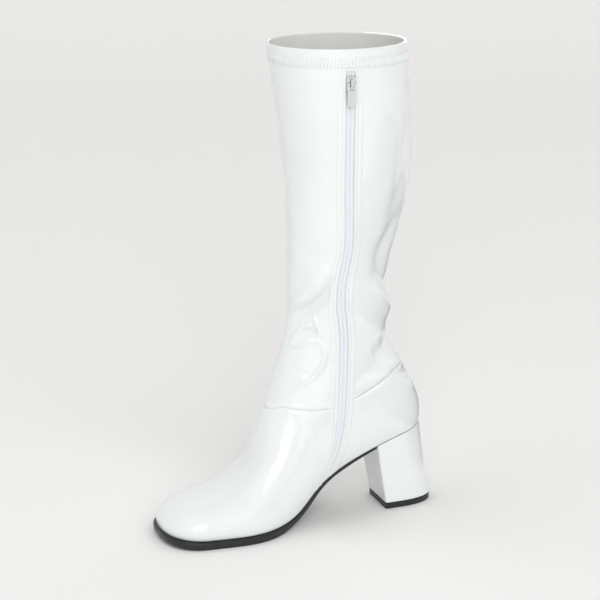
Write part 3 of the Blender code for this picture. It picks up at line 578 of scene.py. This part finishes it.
def boot_grid():
    """The whole boot's grid, finer at the ankle's thin folds, with each point's level over the seam."""
    size = FULL_GRID
    toe = TOE_END * np.linspace(0, 1, size.toe) ** 1.5
    vamp = np.linspace(TOE_END, ANKLE_START, size.vamp)[1:]
    ankle = np.linspace(ANKLE_START, ANKLE_END, size.ankle)[1:]
    leg = np.linspace(ANKLE_END, HEM_START, size.leg)[1:]
    hem = np.linspace(HEM_START, COLLAR_STATION, size.hem)[1:]
    stations = np.concatenate([toe, vamp, ankle, leg, hem])
    fine = np.linspace(-1, 1, 2001)
    weight = np.cumsum(1 + 1.4 * smooth_step(fine, -0.04, 0.04) * (1 - smooth_step(fine, 0.38, 0.5)))
    arounds = np.interp(np.linspace(weight[0], weight[-1], size.around), weight, fine)
    grid = np.meshgrid(stations, arounds, indexing="ij")
    return snap_to_seam(*grid)


def medial_place(y, z):
    """Section number and share round of the medial points at given y and z."""
    tries_s, tries_a = np.meshgrid(np.arange(8, COLLAR_STATION + 0.1, 0.25), np.arange(0.1, 0.98, 0.04))
    tries = surface(tries_s, tries_a)[..., 1:].reshape(-1, 2)
    target = np.stack([y, z], axis=-1)
    nearest = np.array([np.argmin(((tries - one) ** 2).sum(axis=1)) for one in target])
    at = np.stack([tries_s.ravel()[nearest], tries_a.ravel()[nearest]], axis=-1)
    ds, da = PLACE_STEPS
    for _ in range(10):
        s, a = at.T
        miss = surface(s, a)[:, 1:] - target
        by_s = (surface(s + ds, a) - surface(s - ds, a))[:, 1:] / (2 * ds)
        by_a = (surface(s, a + da) - surface(s, a - da))[:, 1:] / (2 * da)
        det = by_s[:, 0] * by_a[:, 1] - by_s[:, 1] * by_a[:, 0]
        step_s = (miss[:, 0] * by_a[:, 1] - miss[:, 1] * by_a[:, 0]) / det
        step_a = (by_s[:, 0] * miss[:, 1] - by_s[:, 1] * miss[:, 0]) / det
        at = at - np.stack([step_s, step_a], axis=-1)
        at = np.clip(at, (1, 0.05), (COLLAR_STATION - 0.02, 0.995))
    return at[:, 0], at[:, 1]


def add_object(name, data):
    obj = bpy.data.objects.new(name, data)
    bpy.context.scene.collection.objects.link(obj)
    return obj


def new_piece(name, vertices, faces, materials, smooth, slots=None, merge=0.0):
    """A mesh piece from vertices in millimetres, linked to the scene."""
    mesh = bpy.data.meshes.new(name)
    places = (np.asarray(vertices, float).reshape(-1, 3) * MM).tolist()
    mesh.from_pydata(places, [], [list(map(int, face)) for face in faces])
    for material in materials:
        mesh.materials.append(material)
    if slots is not None:
        mesh.polygons.foreach_set("material_index", np.asarray(slots, np.int32))
    work = bmesh.new()
    work.from_mesh(mesh)
    if merge:
        bmesh.ops.remove_doubles(work, verts=work.verts, dist=merge * MM)
        bmesh.ops.dissolve_degenerate(work, dist=merge * MM / 2, edges=work.edges)
    bmesh.ops.recalc_face_normals(work, faces=work.faces)
    work.to_mesh(mesh)
    work.free()
    mesh.shade_smooth()
    if smooth < 180:
        mesh.set_sharp_from_angle(angle=math.radians(smooth))
    return add_object(name, mesh)


def tube_faces(count, size, start=0):
    """Faces of a closed body through rings of the same size, numbered from a start, with capped ends."""
    faces = []
    for j in range(count - 1):
        a, b = start + j * size, start + (j + 1) * size
        for k in range(size):
            n = (k + 1) % size
            faces.append((a + k, a + n, b + n, b + k))
    faces.append(tuple(start + k for k in range(size)))
    faces.append(tuple(start + (count - 1) * size + k for k in range(size))[::-1])
    return faces


def loft(name, rings, material, smooth, merge=0.0):
    rings = np.asarray(rings, float)
    return new_piece(name, rings, tube_faces(*rings.shape[:2]), [material], smooth, merge=merge)


def finish_piece(obj, slot, *nodes):
    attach(obj, "boot")
    if nodes:
        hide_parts(*nodes)


class Nodes:
    """Short calls for building a material."""

    def __init__(self, name, colour, roughness, **sockets):
        self.material = bpy.data.materials.new(name)
        self.material.use_nodes = True
        self.tree = self.material.node_tree
        self.shader = self.tree.nodes["Principled BSDF"]
        self.shader.inputs["Base Color"].default_value = (*colour, 1)
        self.shader.inputs["Roughness"].default_value = roughness
        for socket, value in sockets.items():
            self.shader.inputs[socket.replace("_", " ")].default_value = value
        coordinates = self.tree.nodes.new("ShaderNodeTexCoord")
        self.place = coordinates.outputs["Object"]

    def node(self, kind, values=None, **inputs):
        made = self.tree.nodes.new(kind)
        for key, value in (values or {}).items():
            setattr(made, key, value)
        for key, value in inputs.items():
            socket = made.inputs[key.replace("_", " ")]
            if isinstance(value, bpy.types.NodeSocket):
                self.tree.links.new(value, socket)
            else:
                socket.default_value = value
        return made

    def noise(self, scale, detail=3.0, roughness=0.5):
        grain = {"Scale": scale, "Detail": detail, "Roughness": roughness}
        return self.node("ShaderNodeTexNoise", Vector=self.place, **grain).outputs["Fac"]

    def ramp(self, value, low, high, from_value, to_value):
        limits = {"From_Min": low, "From_Max": high, "To_Min": from_value, "To_Max": to_value}
        return self.node("ShaderNodeMapRange", Value=value, **limits).outputs["Result"]

    def bump(self, height, distance, strength=1.0, onto=None):
        made = self.node("ShaderNodeBump", Height=height, Distance=distance, Strength=strength)
        if onto is not None:
            self.tree.links.new(onto, made.inputs["Normal"])
        self.tree.links.new(made.outputs["Normal"], self.shader.inputs["Normal"])
        return made.outputs["Normal"]

    def link(self, output, socket):
        self.tree.links.new(output, self.shader.inputs[socket])

    def two_tone(self, factor, first, second):
        mix = self.node("ShaderNodeMix", {"data_type": "RGBA"}, Factor=factor)
        mix.inputs[6].default_value = (*first, 1)
        mix.inputs[7].default_value = (*second, 1)
        self.link(mix.outputs[2], "Base Color")


def patent_material():
    """White patent: a clear glossy coat over a slightly cool white, with a faint orange peel."""
    coat = {"Coat_Weight": 1.0, "Coat_Roughness": 0.035, "Coat_IOR": 1.56}
    look = Nodes("white_patent", (0.80, 0.835, 0.825), 0.22, **coat)
    look.two_tone(look.noise(38, 2), (0.785, 0.822, 0.812), (0.815, 0.848, 0.838))
    peel = look.bump(look.noise(170, 2, 0.4), 0.00022, 0.55)
    fine = look.bump(look.noise(900, 2, 0.5), 0.00003, 0.4, onto=peel)
    look.link(fine, "Coat Normal")
    return look.material


def lining_material():
    look = Nodes("lining", (0.74, 0.74, 0.72), 0.85, Sheen_Weight=0.25)
    look.two_tone(look.noise(60, 3), (0.70, 0.70, 0.68), (0.78, 0.78, 0.76))
    look.bump(look.noise(2600, 2), 0.0001, 0.5)
    return look.material


def rubber_material():
    look = Nodes("black_rubber", (0.013, 0.0145, 0.0155), 0.36)
    look.link(look.ramp(look.noise(220, 4), 0.3, 0.7, 0.28, 0.42), "Roughness")
    look.bump(look.noise(1500, 3), 0.00004, 0.5)
    return look.material


def tape_material():
    """Woven zip tape: fine ribs across and along."""
    look = Nodes("zip_tape", (0.80, 0.84, 0.89), 0.6, Sheen_Weight=0.2)
    ribs = look.node("ShaderNodeTexWave", {"bands_direction": "Z"}, Vector=look.place, Scale=420.0)
    threads = look.node("ShaderNodeTexWave", {"bands_direction": "Y"}, Vector=look.place, Scale=560.0)
    first = look.bump(ribs.outputs["Fac"], 0.00008, 0.6)
    look.bump(threads.outputs["Fac"], 0.00006, 0.5, onto=first)
    look.two_tone(look.noise(500, 2), (0.745, 0.785, 0.822), (0.80, 0.832, 0.865))
    return look.material


def thread_material():
    look = Nodes("thread", (0.80, 0.83, 0.83), 0.5, Sheen_Weight=0.2)
    look.bump(look.noise(3000, 2), 0.00005, 0.5)
    return look.material


def nickel_material():
    return Nodes("nickel", (0.72, 0.72, 0.74), 0.24, Metallic=1.0).material


def face_corners(grid):
    """Values of a grid at the four corners of each of its faces."""
    return np.stack([grid[:-1, :-1], grid[:-1, 1:], grid[1:, 1:], grid[1:, :-1]], axis=-1).reshape(-1, 4)


def wall_faces(station, level):
    """Faces of the grid below and above the seam, closed round the back above the heel seat."""
    rows, cols = station.shape
    index = np.arange(rows * cols).reshape(rows, cols)
    closed = station[:, 0] >= HEEL_STATION
    index[closed, -1] = index[closed, 0]
    below, above = [], []
    corners, heights = face_corners(index), face_corners(level)
    signs = np.sign(heights)
    low, high = signs.min(axis=1), signs.max(axis=1)
    mixed = (low < 0) & (high > 0)
    under = ~mixed & (heights.sum(axis=1) < 0)
    below += [tuple(face) for face in corners[under]]
    above += [tuple(face) for face in corners[~mixed & ~under]]
    for face, marks in zip(corners[mixed], signs[mixed]):
        turn = 1 if marks[0] != 0 else 0
        a, b, c, d = np.roll(face, -turn)
        halves = ((a, b, c), marks[(turn + 1) % 4]), ((a, c, d), marks[(turn + 3) % 4])
        for half, mark in halves:
            (below if mark < 0 else above).append(tuple(half))
    return below, above


def wall_body(name, faces, outer, inner, materials):
    """A wall as one closed body: the skin outside, lining inside, and a rim along every open edge."""
    count = len(outer)
    used = {}
    for face in faces:
        for a, b in zip(face, face[1:] + face[:1]):
            key = (a, b) if a < b else (b, a)
            used[key] = None if key in used else (a, b)
    rim = [(b, a, a + count, b + count) for a, b in filter(None, used.values())]
    inside = [tuple(corner + count for corner in face[::-1]) for face in faces]
    slots = [0] * len(faces) + [1] * len(inside) + [0] * len(rim)
    every = faces + inside + rim
    corners, places = np.unique(np.concatenate([np.array(face) for face in every]), return_inverse=True)
    numbered, at = [], 0
    for face in every:
        numbered.append(tuple(places[at : at + len(face)]))
        at += len(face)
    vertices = np.concatenate([outer, inner])[corners]
    return new_piece(name, vertices, numbered, materials, 180, slots, merge=0.01)


def wall_pieces(patent, lining):
    """Foot part and leg part, cut from one grid along the seam between them."""
    station, around, level = boot_grid()
    points = surface(station, around)
    out = normal(station, around)
    fold = folds(around, points)
    edge = smooth_step(points[..., 2], BOOT_HEIGHT - COLLAR_ROUND, BOOT_HEIGHT)
    outer = points + out * (fold + seams(station, around, points) - COLLAR_INSETS[0] * edge)[..., None]
    wall = UPPER_WALL + (SHAFT_WALL - UPPER_WALL) * smooth_step(level, -2, 2)
    inner = points + out * (fold - wall + COLLAR_INSETS[1] * edge)[..., None]
    below, above = wall_faces(station, level)
    outer, inner = outer.reshape(-1, 3), inner.reshape(-1, 3)
    finish_piece(wall_body("upper_patent", below, outer, inner, [patent, lining]), "white_patent", "upper")
    finish_piece(wall_body("shaft_patent", above, outer, inner, [patent, lining]), "white_patent", "shaft")


def crowd(start, end, count, at_end=False):
    """Places from start to end that crowd towards its rounded start, or towards its end."""
    turn = np.pi / 2 * np.linspace(0, 1, count)
    return start + (end - start) * (np.sin(turn) if at_end else 1 - np.cos(turn))


# Edge of the sole from its top to its tread: inset from its widest line, and share of its height
SoleEdge = namedtuple("SoleEdge", "inset height")
SOLE_EDGE = [
    SoleEdge(3.2, 1.0),
    SoleEdge(1.0, 1.0),
    SoleEdge(0.45, 0.97),
    SoleEdge(0.1, 0.9),
    SoleEdge(0.0, 0.8),
    SoleEdge(0.12, 0.5),
    SoleEdge(0.3, 0.2),
    SoleEdge(0.55, 0.08),
    SoleEdge(1.0, 0.0),
    SoleEdge(4.0, 0.0),
]
TIP_INSET = 2.4


def outsole_piece(rubber):
    tip = TOE_TIP - LEDGE
    ends = crowd(tip, TREAD_FLAT[0], 40)[:-1]
    places = np.concatenate([ends, np.linspace(TREAD_FLAT[0], BREAST - GAP, 110)])
    rings = []
    for y in places:
        ledge = LEDGE * (1 - smooth_step(y, *LEDGE_FADE)) + SOLE_MARGIN
        share = (y - tip) / (BREAST - tip)
        top, tread = under_last(y), BOTTOM["tread"](y)
        ring = []
        for side, edge in ((1, SOLE_EDGE), (-1, SOLE_EDGE[::-1])):
            for point in edge:
                inset_tip = tip + min(point.inset, TIP_INSET)
                place = inset_tip + (BREAST - GAP - inset_tip) * share
                x = edge_x(place, side, ledge - point.inset, tip=inset_tip, back=NO_END)
                ring.append((float(x), place, float(tread + (top - tread) * point.height)))
        rings.append(ring)
    return loft("outsole_rubber", rings, rubber, smooth=50, merge=0.02)


# Insole: room round it, dish of its top, and where its rounded toe and heel start
INSOLE_INSET = UPPER_WALL + 0.7
INSOLE_DISH = 0.5
INSOLE_TOE = -195
INSOLE_HEEL = -15


def insole_piece(lining):
    tip, back = TOE_TIP + INSOLE_INSET, HEEL_BACK - INSOLE_INSET
    toe = crowd(tip, INSOLE_TOE, 24)[:-1]
    middle = np.linspace(INSOLE_TOE, INSOLE_HEEL, 60)[:-1]
    places = np.concatenate([toe, middle, crowd(INSOLE_HEEL, back, 18, at_end=True)])
    rings = []
    for y in places:
        right, left = (float(edge_x(y, side, -INSOLE_INSET, tip=tip, back=back)) for side in (1, -1))
        low = float(last_z(y))
        across = np.linspace(right, left, 9)
        dish = INSOLE_DISH * (1 - np.linspace(-1, 1, 9) ** 2)
        top = [(x, y, low + INSOLE_THICKNESS - d) for x, d in zip(across, dish)]
        rings.append([*top, (left, y, low), (right, y, low)])
    return loft("insole_sock", rings, lining, smooth=50, merge=0.02)


# Heel block, in millimetres
TREAD_BREAST = -25
TREAD_BACK = 25
TREAD_HALF = 20.2
TREAD_ROUND = Rounding(37, 2.4)
SEAT_FLARE = 2.2
BREAST_HOLLOW = 1.2
BREAST_CORNER = 1.6
EDGE_SHARE = 0.975
# Edge of the lift: height, and share of the heel's full outline
LIFT_EDGE = [(0.0, EDGE_SHARE), (0.5, 1.0), (TOP_PIECE_THICKNESS - 0.4, 1.0), (TOP_PIECE_THICKNESS, 0.98)]


def heel_outline(level, share):
    """Half width and y of the heel block: level 0 is its tread, 1 its seat; share runs to the back."""
    seat_back = HEEL_BACK + 2 * SOLE_MARGIN
    seat_y = BREAST + (seat_back - BREAST) * share
    seat_half = WIDTH["medial"](seat_y) * round_end(seat_back - seat_y, HEEL_ROUND) + SOLE_MARGIN
    tread_y = TREAD_BREAST + (TREAD_BACK - TREAD_BREAST) * share
    tread_half = TREAD_HALF * round_end(TREAD_BACK - tread_y, TREAD_ROUND)
    seat_half = np.where(share >= 1, 0.0, seat_half)
    return tread_half + (seat_half - tread_half) * level**SEAT_FLARE, tread_y + (seat_y - tread_y) * level


def heel_ring(level, base, top_of):
    """Outline of the heel at one level, with small rounded corners at its hollowed breast."""
    shares = crowd(0.04, 1, 34, at_end=True)
    half, y = heel_outline(level, shares)
    seat_y = heel_outline(1.0, shares)[1]
    z = base + (top_of(seat_y) - base) * level
    breast_half, breast_y = (float(v) for v in heel_outline(level, np.float64(0.0)))
    breast_z = float(base + (top_of(BREAST) - base) * level)
    front = []
    for turn in np.linspace(0, np.pi / 2, 5):
        x = breast_half - BREAST_CORNER * (1 - math.sin(turn))
        front.append((x, breast_y + BREAST_CORNER * (1 - math.cos(turn)), breast_z))
    hollow = BREAST_HOLLOW * math.sin(math.pi * min(level, 1.0))
    inner = []
    for share in np.linspace(0, 0.96, 7)[:-1]:
        x = share * (breast_half - BREAST_CORNER)
        inner.append((x, breast_y + hollow * (1 - share * share), breast_z))
    side = inner + front + list(zip(half, y, z))
    ring = [(float(a), float(b), float(c)) for a, b, c in side]
    return ring + [(-a, b, c) for a, b, c in ring[-2::-1]][:-1]


def drawn_in(ring, share):
    """The ring drawn in towards its middle to a share of its size."""
    middle = ring.mean(axis=0)
    ring[:, :2] = middle[:2] + (ring[:, :2] - middle[:2]) * share
    return ring


def heel_piece(patent):
    base = TOP_PIECE_THICKNESS + GAP
    levels = np.concatenate([[0.0, 0.008], np.linspace(0.02, 1, 46)])
    rings = []
    for level in levels:
        ring = np.array(heel_ring(float(level), base, under_last))
        rings.append(drawn_in(ring, EDGE_SHARE) if level == 0 else ring)
    return loft("heel_cover", rings, patent, smooth=35, merge=0.01)


def top_piece(rubber):
    rings = []
    for z, share in LIFT_EDGE:
        ring = np.array(heel_ring(0.0, z, under_last))
        ring[:, 2] = z
        rings.append(drawn_in(ring, share))
    return loft("heel_lift", rings, rubber, smooth=35, merge=0.01)


# Cross sections along the zip: offset from its middle and height over the skin, in millimetres
HALF_TAPE = [
    (0.4, -0.6), (0.9, -0.1), (1.6, 0.05), (2.3, -0.1), (3.0, -0.7), (3.5, -1.2), (6.0, -1.25), (6.0, -1.7),
]
TAPE_PROFILE = [(-offset, lift) for offset, lift in HALF_TAPE[::-1]] + [(0.0, -1.25)] + HALF_TAPE
FACING_PROFILE = [
    (4.0, -1.5), (3.9, 0.0), (4.1, 0.42), (4.6, 0.58), (5.9, 0.5), (6.25, 0.3), (6.6, 0.22),
    (6.95, 0.3), (7.3, 0.42), (9.2, 0.34), (10.1, 0.3), (10.5, 0.1), (10.7, -0.4), (10.6, -1.5),
]
FOOT_GUESS = ZIP_FOOT - 3.5  # height from which the strips' lower ends are worked out
TOPSTITCH_OFFSET = 6.6
TOPSTITCH_PITCH = 3.0

# Stitches, and the swelling of one along its length: place and share of its radius
Stitch = namedtuple("Stitch", "length radius lift")
HEM_BAR = Stitch(7.4, 0.42, 0.12)
TOPSTITCH = Stitch(2.3, 0.24, 0.3)
STITCH_SWELL = [(-0.5, 0.35), (-0.38, 0.9), (0.0, 1.0), (0.38, 0.9), (0.5, 0.35)]
STITCH_SIDES = 6

# Bars of the hem's cover stitch: how many, depth below the collar, and slant
HEM_BARS = 128
HEM_BAR_DROP = 12.2
HEM_BAR_SLANT = 0.14
COLLAR_SECTION = 30  # height that one section spans next to the collar


def zip_rings(profile, high, side=1):
    """Rings of a strip along the zip, from the feather line up."""
    count = ZIP_RINGS
    offsets = np.array([side * offset for offset, _ in profile])
    lifts = np.array([lift for _, lift in profile])
    foot = np.full(len(profile), FOOT_GUESS)
    for _ in range(12):
        foot = last_z(ZIP_MIDDLE(foot) + offsets) + SEAT_LIFT
    shares = np.linspace(0, 1, count)[:, None]
    z = foot[None] * (1 - shares) + high * shares
    y = ZIP_MIDDLE(z) + offsets[None]
    points, _ = over_folds(*medial_place(y.ravel(), z.ravel()), np.tile(lifts, count))
    return points.reshape(count, len(profile), 3)


def zip_pieces(tape, patent):
    rings = zip_rings(TAPE_PROFILE, ZIP_TOP - 0.5)
    finish_piece(loft("zip_tape_woven", rings, tape, smooth=60), "zip_tape", "zip_tape")
    for side, name in ((1, "back"), (-1, "front")):
        rings = zip_rings(FACING_PROFILE, ZIP_TOP + 2, side)
        finish_piece(loft(f"zip_facing_{name}", rings, patent, smooth=60), "white_patent")


def stitch_points(stitch):
    """Points of one stitch along X, ring after ring."""
    angles = np.arange(STITCH_SIDES) / STITCH_SIDES * 2 * np.pi
    rings = []
    for place, swell in STITCH_SWELL:
        y, z = swell * stitch.radius * np.cos(angles), swell * stitch.radius * np.sin(angles)
        rings.append(np.stack([np.full(STITCH_SIDES, place * stitch.length), y, z], axis=1))
    return np.concatenate(rings)


def stitches(name, centres, along, out, stitch, material):
    """Many stitches as one mesh: each lies along its direction on the skin."""
    template = stitch_points(stitch)
    vertices, faces = [], []
    for centre, line, up in zip(centres, unit(along), out):
        across = np.cross(up, line)
        matrix = np.stack([line, across / np.linalg.norm(across), up])
        faces += tube_faces(len(STITCH_SWELL), STITCH_SIDES, start=len(vertices) * len(template))
        vertices.append(centre + template @ matrix)
    finish_piece(new_piece(name, np.concatenate(vertices), faces, [material], 180), "white_patent")


def hem_stitches(thread):
    """Cover stitch of the hem: close, slightly slanted bars between its two rows."""
    around = -1 + 2 * (np.arange(HEM_BARS) + 0.5) / HEM_BARS
    station = np.full(HEM_BARS, COLLAR_STATION - HEM_BAR_DROP / COLLAR_SECTION)
    points, out = over_skin(station, around, HEM_BAR.lift)
    ahead, _ = over_skin(station, around + 0.002, HEM_BAR.lift)
    along = unit(ahead - points) * HEM_BAR_SLANT + np.array([0, 0, 1.0])
    stitches("hem_cover_stitch", points, along, out, HEM_BAR, thread)


def zip_stitches(thread):
    """Topstitching along both facings of the zip."""
    heights = np.arange(ZIP_FOOT + 2, ZIP_TOP, TOPSTITCH_PITCH)
    for side, name in ((1, "back"), (-1, "front")):
        y = ZIP_MIDDLE(heights) + side * TOPSTITCH_OFFSET
        points, out = over_folds(*medial_place(y, heights), TOPSTITCH.lift)
        stitches(f"zip_topstitch_{name}", points, np.gradient(points, axis=0), out, TOPSTITCH, thread)


def floor_and_backdrop():
    """A seamless pale sweep: floor, curved rise and wall, far behind the boot."""
    look = Nodes("studio_paper", (0.85, 0.845, 0.835), 0.9, Specular_IOR_Level=0.0)
    heading = math.radians(CAMERA_HEADING)
    forward = Vector((-math.sin(heading), math.cos(heading), 0))
    right = Vector((math.cos(heading), math.sin(heading), 0))
    profile = [(-SWEEP_REACH, 0.0), (SWEEP_RISE, 0.0)]
    for turn in np.linspace(0.1, math.pi / 2, 14):
        profile.append((SWEEP_RISE + SWEEP_ROUND * math.sin(turn), SWEEP_ROUND * (1 - math.cos(turn))))
    profile.append((SWEEP_RISE + SWEEP_ROUND, SWEEP_HEIGHT))
    vertices, faces = [], []
    for reach, height in profile:
        for sideways in (-SWEEP_REACH, SWEEP_REACH):
            vertices.append(forward * reach + right * sideways + Vector((0, 0, height)))
    for k in range(len(profile) - 1):
        faces.append((2 * k, 2 * k + 1, 2 * k + 3, 2 * k + 2))
    mesh = bpy.data.meshes.new("studio_sweep")
    mesh.from_pydata(vertices, [], faces)
    mesh.materials.append(look.material)
    mesh.shade_smooth()
    add_object("studio_sweep", mesh)


def direction(azimuth, elevation):
    a, e = math.radians(azimuth), math.radians(elevation)
    return Vector((math.sin(a) * math.cos(e), -math.cos(a) * math.cos(e), math.sin(e)))


def face_from(obj, azimuth, elevation):
    """Turns a lamp or the camera to look back from a direction."""
    obj.rotation_mode = "QUATERNION"
    obj.rotation_quaternion = direction(azimuth, elevation).to_track_quat("Z", "Y")


def softbox(name, azimuth, elevation, distance, width, height, power):
    data = bpy.data.lights.new(name, "AREA")
    data.shape = "RECTANGLE"
    data.size, data.size_y = width, height
    data.energy = power
    lamp = add_object(name, data)
    lamp.location = BOOT_MIDDLE + direction(azimuth, elevation) * distance
    face_from(lamp, azimuth, elevation)
    return lamp


def reflected_card(name, azimuth, near, far, width, tone):
    """A grey card on the floor that only reflections see, for the shaded bands of the patent."""
    ahead = direction(azimuth, 0)
    sideways = Vector((-ahead.y, ahead.x, 0))
    base = Vector((BOOT_MIDDLE.x, BOOT_MIDDLE.y, 0.004))
    outline = ((near, -1), (near, 1), (far, 1), (far, -1))
    corners = [base + ahead * reach + sideways * side * width / 2 for reach, side in outline]
    mesh = bpy.data.meshes.new(name)
    mesh.from_pydata(corners, [], [(0, 1, 2, 3)])
    mesh.materials.append(Nodes(name, (tone, tone, tone), 0.9).material)
    card = add_object(name, mesh)
    card.visible_camera = False
    card.visible_diffuse = False
    card.visible_shadow = False


def light_the_scene():
    world = bpy.data.worlds.new("studio")
    world.use_nodes = True
    background = world.node_tree.nodes["Background"]
    background.inputs["Color"].default_value = (1.0, 1.0, 1.0, 1)
    background.inputs["Strength"].default_value = WORLD_STRENGTH
    bpy.context.scene.world = world
    softbox("key", 71, 21, 2.4, 1.1, 1.6, 15)
    softbox("lateral", 236, 10, 2.4, 0.8, 0.9, 7).visible_diffuse = False
    soft_sun("fill", 92, 40, 0.92)
    soft_sun("front_fill", -15, 58, 0.62)
    soft_sun("back_fill", 222, 40, 0.66)
    reflected_card("back_card", 158, 0.2, 1.8, 1.1, 0.22)


def soft_sun(name, azimuth, elevation, energy):
    """A wide, even light that reflections do not show."""
    data = bpy.data.lights.new(name, "SUN")
    data.energy = energy
    data.angle = math.radians(SUN_SPREAD)
    lamp = add_object(name, data)
    face_from(lamp, azimuth, elevation)
    lamp.visible_glossy = False


def make_camera():
    data = bpy.data.cameras.new("camera")
    data.lens = CAMERA_LENS
    data.sensor_width = CAMERA_SENSOR
    camera = add_object("camera", data)
    azimuth = math.radians(CAMERA_AZIMUTH)
    across, back = CAMERA_DISTANCE * math.sin(azimuth), CAMERA_DISTANCE * math.cos(azimuth)
    camera.location = (across, -back, CAMERA_HEIGHT)
    face_from(camera, CAMERA_HEADING, CAMERA_PITCH)
    bpy.context.scene.camera = camera


def main():
    patent, lining, rubber = patent_material(), lining_material(), rubber_material()
    tape, thread, nickel = tape_material(), thread_material(), nickel_material()
    make_camera()
    floor_and_backdrop()
    light_the_scene()
    wall_pieces(patent, lining)
    finish_piece(outsole_piece(rubber), "black_rubber", "outsole")
    finish_piece(insole_piece(lining), "lining", "insole")
    finish_piece(heel_piece(patent), "white_patent", "heel")
    finish_piece(top_piece(rubber), "black_rubber", "heel_top_piece")
    zip_pieces(tape, patent)
    zip_stitches(thread)
    hem_stitches(thread)
    for name in ("zip_slider", "zip_pull_tab"):
        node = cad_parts[name]
        node.data.materials.clear()
        node.data.materials.append(nickel)
    bpy.context.scene.view_settings.view_transform = "Standard"


main()
